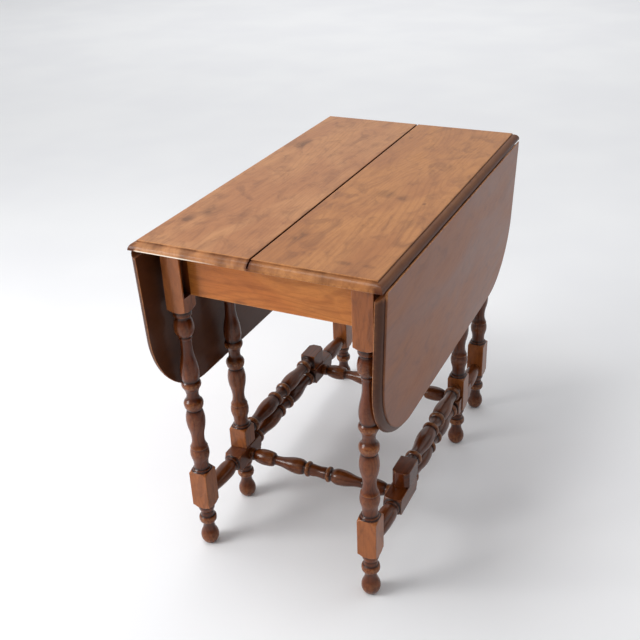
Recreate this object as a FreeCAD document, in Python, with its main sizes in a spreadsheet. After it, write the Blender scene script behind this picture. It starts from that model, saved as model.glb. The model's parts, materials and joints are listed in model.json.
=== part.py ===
import FreeCAD, Part
import math
import os

import Sketcher
from FreeCAD import Placement, Rotation, Vector

# A drop leaf gate-leg table. Millimetres, +Z up, origin on the floor midway between the legs.
# X runs across the table, from one hanging leaf to the other, and Y along it.
# The part stands as it does closed: both leaves hang, and both gates are folded in.

DIMS = {
    # top: two boards with an open seam between them, and a thumb moulding on the outer edges
    "top_height": 762.0,
    "top_thickness": 18.0,
    "top_half_width": 240.5,
    "top_half_length": 441.5,
    "seam_gap": 4.0,
    "thumb_radius": 14.0,
    "thumb_step": 3.5,
    # leaves, which turn about the centre of the rule joint
    "leaf_width": 360.0,
    "leaf_corner": 170.0,
    "leaf_shoulder_gap": 1.2,
    "leaf_lean": 2.0,
    "leaf_sweep_lead": 3.0,
    "cove_radius": 14.7,
    # legs
    "leg_across": 198.0,
    "leg_along": 374.0,
    "leg_half": 21.0,
    "low_block_base": 109.0,
    "low_block_top": 206.0,
    "head_base": 598.0,
    "gate_across": 200.0,
    "gate_along": 198.0,
    "gate_top_play": 0.8,
    "lap_play": 0.8,
    # stretchers
    "stretcher_height": 133.5,
    "stretcher_half": 20.5,
    "joint_block_inner": 151.0,
    "joint_block_outer": 253.5,
    "cross_along": 202.0,
    "cross_drop": 3.0,
    "rail_middle": 12.2,
    "cross_middle": 13.0,
    "shoulder_drop": 7.0,
    "shoulder_start": 0.4,
    "peg_radius": 2.5,
    "peg_length": 12.0,
    "peg_drop": 6.0,
    "peg_aside": 14.0,
    # gate rails
    "rail_height": 174.9,
    "rail_half": 20.5,
    "rail_half_across": 19.8,
    "pivot_along": 197.0,
    "pivot_end": 214.0,
    "pivot_block_inner": 153.0,
    "upper_rail_height": 619.0,
    "upper_rail_half": 18.0,
    "upper_rail_half_across": 12.0,
    "lower_pin_radius": 5.0,
    "upper_pin_radius": 3.5,
    "pin_play": 0.3,
    "pin_end_play": 1.0,
    "lower_pin_foot": 8.0,
    "lower_pin_cover": 5.0,
    "upper_pin_cover": 3.0,
    "upper_pin_depth": 24.0,
    "rail_clip": 10.0,
    "upper_rail_clip": 7.0,
    # aprons
    "end_apron_base": 630.0,
    "end_apron_face": 367.0,
    "end_apron_thickness": 18.0,
    "side_apron_base": 640.0,
    "side_apron_inner": 185.0,
    "side_apron_outer": 206.0,
    "tenon_length": 11.0,
    "tenon_thickness": 9.0,
    "tenon_base": 650.0,
    "tenon_inset": 10.0,
    "side_tenon_inner": 191.0,
    "tenon_play": 0.2,
    "housing_depth": 14.0,
    "housing_lip": 4.0,
    "housing_rise": 2.0,
    # round tenons on the turned rails
    "dowel_radius": 8.0,
    "dowel_length": 14.0,
    # table hinges
    "hinge_along": 300.0,
    "hinge_half": 18.0,
    "hinge_plate": 1.6,
    "hinge_fixed_reach": 30.0,
    "hinge_leaf_reach": 44.0,
    "knuckle_radius": 3.0,
    "knuckle_bore": 1.6,
    "hinge_pin_radius": 1.5,
    "knuckle_half": 6.7,
    "knuckle_clearance": 0.3,
    "knuckle_arm_overlap": 0.5,
    "screw_radius": 1.6,
    "screw_head_radius": 3.2,
    "screw_length": 11.0,
    "screw_spread": 11.0,
    "screw_back_outer": 7.0,
    "screw_back_inner": 19.0,
    "block_reach": 42.0,
    "block_drop": 54.0,
    "block_screw_inset": 13.0,
    "block_screw_radius": 2.2,
    "block_screw_head": 4.0,
    "block_screw_head_height": 2.0,
    "block_gap": 2.0,
}

# Turned profiles as (how the outline gets there, station, radius). A "line" is straight, a "rise"
# is an arc that ends parallel to the axis, a "fall" an arc that starts parallel to it, and an
# "ogee" is two arcs that are parallel to the axis at both ends.
FOOT = [
    ("line", 0, 11),
    ("rise", 20, 20.5),
    ("ogee", 50, 13),
    ("fall", 61, 16),
    ("line", 63, 18.6),
    ("rise", 69.5, 19.8),
    ("fall", 76, 18.6),
    ("line", 78, 15),
    ("fall", 90, 14),
    ("rise", 104, 18.5),
    ("line", 109, 18.5),
]
SHAFT = [
    ("line", 206, 19.5),
    ("line", 210, 19.5),
    ("line", 212, 16.5),
    ("rise", 222, 16),
    ("ogee", 251, 20.9),
    ("fall", 263, 18.9),
    ("line", 264.5, 18.1),
    ("line", 266, 19.4),
    ("rise", 287, 13.7),
    ("ogee", 337, 20.5),
    ("fall", 360, 16.8),
    ("line", 363, 15.4),
    ("line", 364, 16.8),
    ("rise", 378, 20.9),
    ("fall", 388, 16.2),
    ("rise", 399, 12.9),
    ("fall", 415, 17),
    ("line", 418, 18.6),
    ("rise", 425, 20.9),
    ("fall", 432, 18.6),
    ("line", 434, 16.8),
    ("line", 437, 17.4),
    ("rise", 453, 19.4),
    ("ogee", 514, 11.8),
    ("line", 531, 12.2),
    ("line", 533, 13.6),
    ("line", 536, 13.6),
    ("line", 538, 12.8),
    ("rise", 557, 20.8),
    ("fall", 580, 16.2),
    ("line", 584, 16.2),
    ("line", 587, 19.2),
    ("line", 640, 19.2),
]
# Half of the long turned stretch that the side stretchers and the gate rails share, outwards
# from its middle, and the short barrel between a corner leg and the joint block.
RAIL_HALF = [
    ("fall", 14, 14.2),
    ("line", 16, 17.6),
    ("rise", 22, 19.6),
    ("fall", 28, 17.6),
    ("line", 30, 15.2),
    ("line", 34, 16.6),
    ("rise", 62, 19.6),
    ("ogee", 122, 13.4),
    ("line", 131, 14.2),
    ("line", 133, 17.6),
    ("rise", 139, 19.4),
    ("fall", 145, 17.6),
    ("line", 147, 14.8),
]
BARREL = [
    ("line", 256, 17.6),
    ("line", 260, 17.6),
    ("line", 262, 15.6),
    ("rise", 284, 19.6),
    ("fall", 348, 14.2),
]
# Half of a cross stretcher, outwards from its middle.
CROSS_HALF = [
    ("ogee", 20, 14.4),
    ("line", 22, 16.6),
    ("rise", 26, 18.2),
    ("fall", 30, 16.6),
    ("line", 32, 14),
    ("line", 35, 14.2),
    ("rise", 51, 18.8),
    ("ogee", 108, 11),
    ("fall", 116, 16.6),
    ("line", 117.5, 15.9),
    ("line", 118.5, 16.8),
    ("rise", 137, 18.6),
    ("fall", 163, 13.6),
    ("line", 165, 12.4),
    ("line", 167, 14.4),
    ("line", 170, 14.4),
]

doc = FreeCAD.newDocument("drop_leaf_table")
dims = doc.addObject("Spreadsheet::Sheet", "dims")
nodes = []


# ---- the sheet, and expressions that read it

def write_cells(column, values):
    """Writes named numbers down a pair of the sheet's columns."""
    for row, (alias, value) in enumerate(values.items(), start=1):
        dims.set(f"{column}{row}", alias)
        dims.set(f"{chr(ord(column) + 1)}{row}", str(value))
        dims.setAlias(f"{chr(ord(column) + 1)}{row}", alias)


def write_profile(column, name, profile):
    """Writes a turned profile to the sheet, and returns it with aliases in place of numbers."""
    values, named = {}, []
    for index, (how, station, radius) in enumerate(profile):
        at, wide = f"{name}_at_{index}", f"{name}_radius_{index}"
        values[at], values[wide] = station, radius
        named.append((how, at, wide))
    write_cells(column, values)
    return named


write_cells("A", DIMS)
foot = write_profile("D", "foot", FOOT)
shaft = write_profile("G", "shaft", SHAFT)
rail_half = write_profile("J", "rail", RAIL_HALF)
barrel = write_profile("M", "barrel", BARREL)
cross_half = write_profile("P", "cross", CROSS_HALF)
doc.recompute()


def cell(text):
    """An expression in which each bare alias is read from the sheet."""
    words = str(text).replace("(", " ( ").replace(")", " ) ").split()
    return " ".join(f"dims.{w}" if dims.getCellFromAlias(w) else w for w in words)


def value_of(text):
    """The number that an expression of the sheet's aliases comes to."""
    return float(dims.evalExpression(cell(text).replace("dims.", "")))


# ---- sketches

def new_body(name):
    body = doc.addObject("PartDesign::Body", name)
    body.Label = name
    nodes.append(body)
    return body


def new_sketch(body, role, offset="0"):
    """A sketch on one of the body's origin planes, moved along the plane's normal."""
    sketch = body.newObject("Sketcher::SketchObject", f"{body.Name}_sketch")
    plane = next(f for f in body.Origin.OriginFeatures if f.Role == role)
    sketch.AttachmentSupport = [(plane, "")]
    sketch.MapMode = "FlatFace"
    sketch.setExpression("AttachmentOffset.Base.z", cell(offset))
    return sketch


def bind(sketch, kind, target, text):
    """A dimension of a sketch, held at an expression."""
    index = sketch.addConstraint(Sketcher.Constraint(kind, *target, value_of(text)))
    sketch.setExpression(f"Constraints[{index}]", cell(text))


def add_chain(sketch, edges):
    """A closed chain of edges, each (curve, start across, start up), joined end to end."""
    ids = [sketch.addGeometry(curve, False) for curve, _, _ in edges]
    ends = []
    for index, (_, across, up) in zip(ids, edges):
        start = Vector(value_of(across), value_of(up), 0)
        ends.append((1, 2) if (sketch.getPoint(index, 1) - start).Length < 1e-4 else (2, 1))
    for i, index in enumerate(ids):
        after = (i + 1) % len(ids)
        joint = Sketcher.Constraint("Coincident", index, ends[i][1], ids[after], ends[after][0])
        sketch.addConstraint(joint)
    for index, (first, _), (_, across, up) in zip(ids, ends, edges):
        bind(sketch, "DistanceX", (-1, 1, index, first), across)
        bind(sketch, "DistanceY", (-1, 1, index, first), up)


def point(across, up):
    return Vector(value_of(across), value_of(up), 0)


def polygon(sketch, corners):
    """A closed polygon through (across, up) pairs of expressions."""
    edges = []
    for (across, up), after in zip(corners, corners[1:] + corners[:1]):
        edges.append((Part.LineSegment(point(across, up), point(*after)), across, up))
    add_chain(sketch, edges)


def rectangle(sketch, left, right, low, high):
    polygon(sketch, [(left, low), (right, low), (right, high), (left, high)])


def circles(sketch, centres, radius):
    """Circles of one radius, centred at (across, up) pairs of expressions."""
    for across, up in centres:
        circle = Part.Circle(point(across, up), Vector(0, 0, 1), value_of(radius))
        index = sketch.addGeometry(circle, False)
        bind(sketch, "DistanceX", (-1, 1, index, 3), across)
        bind(sketch, "DistanceY", (-1, 1, index, 3), up)
        bind(sketch, "Radius", (index,), radius)


def span(sign, low, high):
    """A range of distances on the side of an axis that sign gives, as (left, right)."""
    return (low, high) if sign > 0 else (f"0 - ( {high} )", f"0 - ( {low} )")


# ---- features

def check_volume(body, before, what):
    doc.recompute()
    if not body.Shape.Volume < before - 1e-3:
        raise RuntimeError(f"{what} of {body.Label} cuts nothing")


def block(body, across, along, base, top):
    """A box over two ranges, from one height to another."""
    sketch = new_sketch(body, "XY_Plane", base)
    rectangle(sketch, *across, *along)
    feature = body.newObject("PartDesign::Pad", f"{body.Name}_pad")
    feature.Profile = sketch
    feature.setExpression("Length", cell(f"{top} - ( {base} )"))


def cut(body, role, offset, draw, depth, along_normal=False):
    """Cuts what draw(sketch) outlines, to one side of a plane."""
    doc.recompute()
    before = body.Shape.Volume
    sketch = new_sketch(body, role, offset)
    draw(sketch)
    pocket = body.newObject("PartDesign::Pocket", f"{body.Name}_pocket")
    pocket.Profile = sketch
    pocket.setExpression("Length", cell(depth))
    pocket.Reversed = along_normal
    check_volume(body, before, "a pocket")


def cut_box(body, across, along, base, top):
    """Cuts a box over two ranges, from one height up to another."""
    cut(
        body, "XY_Plane", base,
        lambda sketch: rectangle(sketch, *across, *along),
        f"{top} - ( {base} )", along_normal=True,
    )


def bore_up(body, centres, radius, base, top):
    """Round holes from one height up to another."""
    cut(
        body, "XY_Plane", base,
        lambda sketch: circles(sketch, centres, radius),
        f"{top} - ( {base} )", along_normal=True,
    )


def bore_across(body, sign, face, centres, radius, depth):
    """Round holes into the face that looks along +X (sign 1) or -X (sign -1)."""
    cut(
        body, "YZ_Plane", f"{sign} * ( {face} + 1 )",
        lambda sketch: circles(sketch, centres, radius),
        f"{depth} + 1", along_normal=sign < 0,
    )


def bore_along(body, sign, face, centres, radius, depth):
    """Round holes into the face that looks along +Y (sign 1) or -Y (sign -1)."""
    cut(
        body, "XZ_Plane", f"{-sign} * ( {face} + 1 )",
        lambda sketch: circles(sketch, centres, radius),
        f"{depth} + 1", along_normal=sign > 0,
    )


# ---- turning

def arc_middle(level, other):
    """The middle of the arc from level, where it runs parallel to the axis, to other."""
    run, rise = other.y - level.y, other.x - level.x
    radius = (run * run + rise * rise) / (2 * abs(rise))
    half = math.asin(min(1.0, abs(run) / radius)) / 2
    if abs(rise) > radius:
        half = math.pi / 2 - half
    return level + Vector(
        math.copysign(radius * (1 - math.cos(half)), rise),
        math.copysign(radius * math.sin(half), run),
        0,
    )


def arc(start, end, level):
    """An arc between two points that runs parallel to the axis at level, one of the two."""
    other = end if level == start else start
    return Part.Arc(start, arc_middle(level, other), end)


def outline(profile):
    """The closed half section of a turned profile, as (curve, start radius, start station)."""
    _, station, radius = profile[0]
    here = point(radius, station)
    edges = [(Part.LineSegment(point(0, station), here), "0", station)]
    for how, next_station, next_radius in profile[1:]:
        there = point(next_radius, next_station)
        if how == "line":
            edges.append((Part.LineSegment(here, there), radius, station))
        elif how == "rise":
            edges.append((arc(here, there, there), radius, station))
        elif how == "fall":
            edges.append((arc(here, there, here), radius, station))
        else:
            middle = (here + there) * 0.5
            edges.append((arc(here, middle, here), radius, station))
            between = f"( {radius} + {next_radius} ) / 2", f"( {station} + {next_station} ) / 2"
            edges.append((arc(middle, there, there), *between))
        here, station, radius = there, next_station, next_radius
    edges.append((Part.LineSegment(here, point(0, station)), radius, station))
    first = profile[0][1]
    edges.append((Part.LineSegment(point(0, station), point(0, first)), "0", station))
    return edges


def turned(body, profile):
    """A solid of revolution about the body's Z axis."""
    sketch = new_sketch(body, "XZ_Plane")
    add_chain(sketch, outline(profile))
    feature = body.newObject("PartDesign::Revolution", f"{body.Name}_turning")
    feature.Profile = sketch
    feature.ReferenceAxis = (sketch, ["V_Axis"])
    feature.Angle = 360


def shoulders(body, half, ends):
    """Turns the corners off a square block: ends are (height, 1 at its top or -1 at its base)."""
    doc.recompute()
    before = body.Shape.Volume
    sketch = new_sketch(body, "XZ_Plane")
    for height, way in ends:
        polygon(
            sketch,
            [
                (f"{half} + shoulder_start", f"{height} + {way}"),
                (f"{half} * 1.5", f"{height} + {way}"),
                (f"{half} * 1.5", f"{height} - {way} * shoulder_drop"),
                (f"{half} + shoulder_start", height),
            ],
        )
    groove = body.newObject("PartDesign::Groove", f"{body.Name}_shoulders")
    groove.Profile = sketch
    groove.ReferenceAxis = (sketch, ["V_Axis"])
    groove.Angle = 360
    check_volume(body, before, "the shoulders")


BACKWARDS = {"line": "line", "rise": "fall", "fall": "rise", "ogee": "ogee"}


def both_ways(half, middle_radius):
    """A profile symmetric about station 0, from its outward half."""
    back = []
    before = [("line", "0", middle_radius)] + half
    for (how, _, _), (_, station, radius) in zip(reversed(half), reversed(before[:-1])):
        back.append((BACKWARDS[how], f"0 - {station}", radius))
    outer_station, outer_radius = half[-1][1:]
    return [("line", f"0 - {outer_station}", outer_radius)] + back + half


def dowelled(profile, end):
    """A profile with a round tenon beyond each end of it, where the piece ends at +-end."""
    last = profile[-1][2]
    tip = f"{end} + dowel_length"
    return (
        [("line", f"0 - ( {tip} )", "dowel_radius"), ("line", f"0 - ( {end} )", "dowel_radius")]
        + [("line", f"0 - ( {end} )", last)]
        + profile
        + [("line", end, last), ("line", end, "dowel_radius"), ("line", tip, "dowel_radius")]
    )


# ---- placing

def place(piece, x, y, z, rotation=Rotation()):
    piece.Placement = Placement(Vector(x, y, z), rotation)


def half_turn(side):
    """The turn that carries a piece made for the +X side to the side given, 1 or -1."""
    return Rotation(Vector(0, 0, 1), 0 if side > 0 else 180)


# a piece turned about its own Z axis is laid down along the table's Y, or along its X
ALONG_Y = Rotation(Vector(1, 0, 0), -90)
ALONG_X = Rotation(Vector(0, 1, 0), 90)
# a leaf is made flat and hung from its pins, where its own weight leans it in a little
HANGING = Rotation(Vector(0, 1, 0), 90 + value_of("leaf_lean"))

UNDERSIDE = "top_height - top_thickness"
PIN_LEVEL = "top_height - thumb_step - thumb_radius"


# ---- legs

def leg_blocks(body, top):
    """A leg's two square blocks, with turned shoulders where they meet the turnings."""
    square = "0 - leg_half", "leg_half"
    block(body, square, square, "low_block_base", "low_block_top")
    block(body, square, square, "head_base", top)
    shoulders(
        body, "leg_half",
        [("low_block_base", -1), ("low_block_top", 1), ("head_base", -1)],
    )


def corner_leg(name, side, end):
    """The corner leg on one side (1 is +X) of one end (1 is +Y), mortised for its neighbours."""
    body = new_body(name)
    turned(body, foot + shaft)
    leg_blocks(body, UNDERSIDE)
    height = "tenon_base - tenon_play", f"{UNDERSIDE} - tenon_inset + tenon_play"
    apron_face = "leg_along - end_apron_face"
    # a housing wider than the end apron leaves a dark slot beside it; its mortise is behind that
    cut_box(
        body,
        span(-side, "leg_half - housing_depth", "leg_half + 1"),
        span(-end, "housing_lip - leg_half", apron_face),
        "end_apron_base + housing_rise", "top_height",
    )
    cut_box(
        body,
        span(-side, "leg_half - tenon_length - tenon_play", "leg_half + 1"),
        span(-end, f"{apron_face} - 1", f"{apron_face} + tenon_thickness + tenon_play"),
        *height,
    )
    side_tenon = "side_tenon_inner - leg_across"
    cut_box(
        body,
        span(side, f"{side_tenon} - tenon_play", f"{side_tenon} + tenon_thickness + tenon_play"),
        span(-end, "leg_half - tenon_length - tenon_play", "leg_half + 1"),
        *height,
    )
    bore_along(
        body, -end, "leg_half", [("0", "stretcher_height")],
        "dowel_radius + tenon_play", "dowel_length + tenon_play",
    )
    place(body, side * value_of("leg_across"), end * value_of("leg_along"), 0)


def gate_leg(name, side):
    """A gate's leg, lapped over the side stretcher and over the side apron."""
    body = new_body(name)
    turned(body, foot + shaft)
    leg_blocks(body, f"{UNDERSIDE} - gate_top_play")
    inside = "0 - leg_half - 1"
    everywhere = inside, "leg_half + 1"
    cut_box(
        body, (inside, "0"), everywhere,
        "stretcher_height - stretcher_half - lap_play",
        "stretcher_height + stretcher_half + lap_play",
    )
    cut_box(
        body, (inside, "side_apron_outer - gate_across + lap_play"), everywhere,
        "side_apron_base - lap_play", "top_height",
    )
    bore_along(
        body, -1, "leg_half", [("0", "rail_height"), ("0", "upper_rail_height")],
        "dowel_radius + tenon_play", "dowel_length + tenon_play",
    )
    across, along = value_of("gate_across"), value_of("gate_along")
    place(body, side * across, side * along, 0, half_turn(side))


# ---- stretchers and rails

def side_stretcher(name, side):
    """A side stretcher. Laid down, its own Z is the table's length and its own Y is down."""
    body = new_body(name)
    half = rail_half + [("line", "joint_block_inner", rail_half[-1][2])]
    half += [("line", "joint_block_outer", barrel[0][2])] + barrel
    turned(body, dowelled(both_ways(half, "rail_middle"), "leg_along - leg_half"))
    square = "0 - stretcher_half", "stretcher_half"
    for sign in (1, -1):
        block(body, square, square, *span(sign, "joint_block_inner", "joint_block_outer"))
    shoulders(
        body, "stretcher_half",
        [
            ("joint_block_inner", -1), ("joint_block_outer", 1),
            ("0 - joint_block_inner", 1), ("0 - joint_block_outer", -1),
        ],
    )
    # the lap that the gate's leg closes into
    cut_box(
        body, ("gate_across - leg_across - lap_play", "stretcher_half + 1"),
        ("0 - stretcher_half - 1", "stretcher_half + 1"),
        "gate_along - leg_half - lap_play", "gate_along + leg_half + lap_play",
    )
    # the pivot pin's hole, from above
    bore_along(
        body, -1, "stretcher_half", [("gate_across - leg_across", "0 - pivot_along")],
        "lower_pin_radius", "stretcher_half + lower_pin_foot",
    )
    # mortises for the cross stretchers, and a hole for the peg
    bore_across(
        body, -1, "stretcher_half",
        [("cross_drop", "cross_along"), ("cross_drop", "0 - cross_along")],
        "dowel_radius + tenon_play", "dowel_length + tenon_play",
    )
    bore_across(
        body, 1, "stretcher_half", [("peg_drop", "0 - cross_along - peg_aside")],
        "peg_radius", "peg_length",
    )
    turn = half_turn(side)
    place(body, side * value_of("leg_across"), 0, value_of("stretcher_height"), turn * ALONG_Y)


def cross_stretcher(name, end):
    body = new_body(name)
    turned(body, dowelled(both_ways(cross_half, "cross_middle"), "leg_across - stretcher_half"))
    height = value_of("stretcher_height - cross_drop")
    place(body, 0, end * value_of("cross_along"), height, ALONG_X)


def clip_corners(body, half_across, half_up, end, clip):
    """Clips the corners off the end of a laid rail, at its low end, seen from above."""

    def draw(sketch):
        for way in (1, -1):
            polygon(
                sketch,
                [
                    (f"{way} * ( {half_across} + 1 )", f"0 - ( {end} ) - 1"),
                    (f"{way} * ( {half_across} + 1 )", f"0 - ( {end} ) + {clip}"),
                    (f"{way} * ( {half_across} - {clip} )", f"0 - ( {end} ) - 1"),
                ],
            )

    cut(body, "XZ_Plane", f"{half_up} + 1", draw, f"2 * ( {half_up} + 1 )")


def gate_rail(name, side):
    """A gate's turned lower rail, ending in the block that pivots on the side stretcher."""
    body = new_body(name)
    middle = "( gate_along - leg_half - pivot_block_inner ) / 2"
    turned_half = "( gate_along - leg_half + pivot_block_inner ) / 2"
    turned(body, dowelled(both_ways(rail_half, "rail_middle"), turned_half))
    across, up = "rail_half_across", "rail_half"
    end = f"pivot_end + {middle}"
    block(
        body, (f"0 - {across}", across), (f"0 - {up}", up), f"0 - ( {end} )", f"0 - {turned_half}"
    )
    clip_corners(body, across, up, end, "rail_clip")
    bore_along(
        body, 1, up, [("0", f"0 - ( pivot_along + {middle} )")],
        "lower_pin_radius + pin_play", f"2 * {up} - lower_pin_cover",
    )
    turn = half_turn(side)
    y = side * value_of(middle)
    place(body, side * value_of("gate_across"), y, value_of("rail_height"), turn * ALONG_Y)


def gate_upper_rail(name, side):
    """A gate's plain upper rail, pivoting under the side apron."""
    body = new_body(name)
    across, up = "upper_rail_half_across", "upper_rail_half"
    face = "gate_along - leg_half"
    tenon = [("line", "0", "dowel_radius"), ("line", f"{face} + dowel_length", "dowel_radius")]
    turned(body, tenon)
    block(body, (f"0 - {across}", across), (f"0 - {up}", up), "0 - pivot_end", face)
    clip_corners(body, across, up, "pivot_end", "upper_rail_clip")
    bore_along(
        body, -1, up, [("0", "0 - pivot_along")],
        "upper_pin_radius + pin_play", f"2 * {up} - upper_pin_cover",
    )
    turn = half_turn(side)
    place(body, side * value_of("gate_across"), 0, value_of("upper_rail_height"), turn * ALONG_Y)


# ---- aprons and top

def tenon_height():
    return "tenon_base", f"{UNDERSIDE} - tenon_inset"


def end_apron(name, end):
    body = new_body(name)
    reach = "leg_across - leg_half"
    face, back = "end_apron_face", "end_apron_face - end_apron_thickness"
    block(
        body, (f"0 - ( {reach} )", reach), span(end, back, face), "end_apron_base", UNDERSIDE
    )
    tip = f"{reach} + tenon_length"
    block(
        body, (f"0 - ( {tip} )", tip), span(end, f"{face} - tenon_thickness", face),
        *tenon_height(),
    )


def side_apron(name, side):
    body = new_body(name)
    reach = "leg_along - leg_half"
    tip = f"{reach} + tenon_length"
    block(
        body, ("side_apron_inner", "side_apron_outer"), (f"0 - ( {reach} )", reach),
        "side_apron_base", UNDERSIDE,
    )
    block(
        body, ("side_tenon_inner", "side_tenon_inner + tenon_thickness"),
        (f"0 - ( {tip} )", tip), *tenon_height(),
    )
    bore_up(
        body, [("gate_across", "0 - pivot_along")], "upper_pin_radius",
        "side_apron_base - 1", "side_apron_base + upper_pin_depth",
    )
    place(body, 0, 0, 0, half_turn(side))


def thumb_section(sketch, outer, level, way=1):
    """What the thumb moulding takes off an edge: a step, over a quarter round that ends at level."""

    def at(across):
        return f"{way} * ( {across} )"

    inner, top = f"{outer} - thumb_radius", f"{level} + thumb_radius + thumb_step"
    low, high = point(at(outer), level), point(at(inner), f"{level} + thumb_radius")
    corners = [
        (at(inner), f"{level} + thumb_radius"),
        (at(inner), f"{top} + 1"),
        (at(f"{outer} + 1"), f"{top} + 1"),
        (at(f"{outer} + 1"), level),
        (at(outer), level),
    ]
    edges = [(arc(low, high, low), at(outer), level)]
    for (across, up), after in zip(corners, corners[1:]):
        edges.append((Part.LineSegment(point(across, up), point(*after)), across, up))
    add_chain(sketch, edges)


def hinge_rows():
    return ("0 - hinge_along", "0", "hinge_along")


SCREW_BACKS = ("screw_back_outer", "screw_back_inner")


def screw_spots(reach):
    """Where a hinge plate's screws go, from the pin's axis and along it."""
    return [
        (f"{reach} - {back}", f"{row} + {way} * screw_spread")
        for row in hinge_rows() for back in SCREW_BACKS for way in (1, -1)
    ]


def block_screw_spots(sides):
    """Where the screws through the corner blocks go, on the sides given."""
    back = "end_apron_face - end_apron_thickness - block_screw_inset"
    return [
        (f"{side} * ( side_apron_inner - block_screw_inset )", f"{end} * ( {back} )")
        for side in sides for end in (1, -1)
    ]


def top_board(name, side):
    body = new_body(name)
    edge = "top_half_width + thumb_radius"
    length = "top_half_length"
    block(body, ("seam_gap / 2", edge), (f"0 - {length}", length), UNDERSIDE, "top_height")
    cut(
        body, "XZ_Plane", f"{length} + 1",
        lambda sketch: thumb_section(sketch, edge, PIN_LEVEL), f"2 * ( {length} + 1 )",
    )

    def ends(sketch):
        thumb_section(sketch, length, PIN_LEVEL)
        thumb_section(sketch, length, PIN_LEVEL, -1)

    cut(body, "YZ_Plane", "0", ends, f"{edge} + 1", along_normal=True)
    play = "hinge_half + knuckle_clearance"
    for row in hinge_rows():
        along = f"{row} - ( {play} )", f"{row} + {play}"
        cut_box(
            body, ("top_half_width - hinge_fixed_reach - tenon_play", f"{edge} + 1"), along,
            f"{UNDERSIDE} - 1", f"{UNDERSIDE} + hinge_plate + tenon_play",
        )
        cut(
            body, "XZ_Plane", f"0 - ( {along[0]} )",
            lambda sketch: circles(
                sketch, [("top_half_width", PIN_LEVEL)], "knuckle_radius + knuckle_clearance"
            ),
            f"2 * ( {play} )",
        )
    spots = [(f"top_half_width - ( {back} )", along) for back, along in
             screw_spots("hinge_fixed_reach")]
    bore_up(body, spots, "screw_radius", UNDERSIDE, f"{UNDERSIDE} + screw_length")
    bore_up(
        body, block_screw_spots([1]), "block_screw_radius", UNDERSIDE,
        f"{UNDERSIDE} + screw_length",
    )
    place(body, 0, 0, 0, half_turn(side))


# ---- leaves: each is made flat, with the hinge axis along its own Y, and hung from it

def hang(piece, side):
    across = side * value_of("top_half_width")
    place(piece, across, 0, value_of(PIN_LEVEL), half_turn(side) * HANGING)


def leaf_outline(start):
    """The leaf's three free sides, from the joint round to the joint, as a chain of edges."""
    wide, length, corner = "leaf_width", "top_half_length", "leaf_corner"
    corners = [
        (start, f"0 - {length}"),
        (f"{wide} - {corner}", f"0 - {length}"),
        (wide, f"{corner} - {length}"),
        (wide, f"{length} - {corner}"),
        (f"{wide} - {corner}", length),
        (start, length),
    ]
    where = [point(*c) for c in corners]
    curves = [
        Part.LineSegment(where[0], where[1]),
        arc(where[1], where[2], where[2]),
        Part.LineSegment(where[2], where[3]),
        arc(where[3], where[4], where[3]),
        Part.LineSegment(where[4], where[5]),
    ]
    return [(curve, *corner) for curve, corner in zip(curves, corners)], corners[-1]


def leaf(name, side):
    body = new_body(name)
    base = f"{UNDERSIDE} - ( {PIN_LEVEL} )"
    length = "top_half_length"
    sketch = new_sketch(body, "XY_Plane", base)
    edges, last = leaf_outline("leaf_shoulder_gap")
    back = Part.LineSegment(point(*last), point("leaf_shoulder_gap", f"0 - {length}"))
    add_chain(sketch, edges + [(back, *last)])
    pad = body.newObject("PartDesign::Pad", f"{body.Name}_pad")
    pad.Profile = sketch
    pad.setExpression("Length", cell("top_thickness"))
    doc.recompute()
    before = body.Shape.Volume

    # the thumb moulding, swept round the three free sides
    path = new_sketch(body, "XY_Plane")
    start = "leaf_shoulder_gap - leaf_sweep_lead"
    edges, _ = leaf_outline(start)
    for curve, _, _ in edges:
        path.addGeometry(curve, False)
    section = new_sketch(body, "YZ_Plane", start)
    thumb_section(section, length, "0", -1)
    pipe = body.newObject("PartDesign::SubtractivePipe", f"{body.Name}_moulding")
    pipe.Profile = section
    pipe.Spine = (path, [f"Edge{i}" for i in range(1, len(edges) + 1)])
    check_volume(body, before, "the moulding")

    cut(
        body, "XZ_Plane", f"{length} + 1",
        lambda sketch: circles(sketch, [("0", "0")], "cove_radius"), f"2 * ( {length} + 1 )",
    )
    play = "hinge_half + knuckle_clearance"
    for row in hinge_rows():
        cut_box(
            body, ("0", "hinge_leaf_reach + tenon_play"), (f"{row} - ( {play} )", f"{row} + {play}"),
            f"{base} - 1", f"{base} + hinge_plate + tenon_play",
        )
    bore_up(
        body, screw_spots("hinge_leaf_reach"), "screw_radius", base, f"{base} + screw_length"
    )
    hang(body, side)


# ---- hardware

def primitive(kind, name, **sizes):
    """A Part primitive whose sizes are held at expressions."""
    piece = doc.addObject(f"Part::{kind}", name)
    for key, text in sizes.items():
        piece.setExpression(key, cell(text))
    return piece


def fused(name, pieces):
    piece = doc.addObject("Part::MultiFuse", name)
    piece.Shapes = pieces
    return piece


def less(name, base, tool):
    piece = doc.addObject("Part::Cut", name)
    piece.Base, piece.Tool = base, tool
    return piece


def group(name, pieces):
    """One node of several like solids."""
    piece = doc.addObject("Part::Compound", name)
    piece.Links = pieces
    piece.Label = name
    nodes.append(piece)
    return piece


def rod(name, radius, x, low, high):
    """A cylinder along Y, between two stations."""
    piece = primitive("Cylinder", name, Radius=radius, Height=f"{high} - ( {low} )")
    place(piece, value_of(x), value_of(low), 0, ALONG_Y)
    return piece


def plate(name, across, along, base, top):
    piece = primitive(
        "Box", name,
        Length=f"{across[1]} - ( {across[0]} )",
        Width=f"{along[1]} - ( {along[0]} )",
        Height=f"{top} - ( {base} )",
    )
    place(piece, value_of(across[0]), value_of(along[0]), value_of(base))
    return piece


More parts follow.
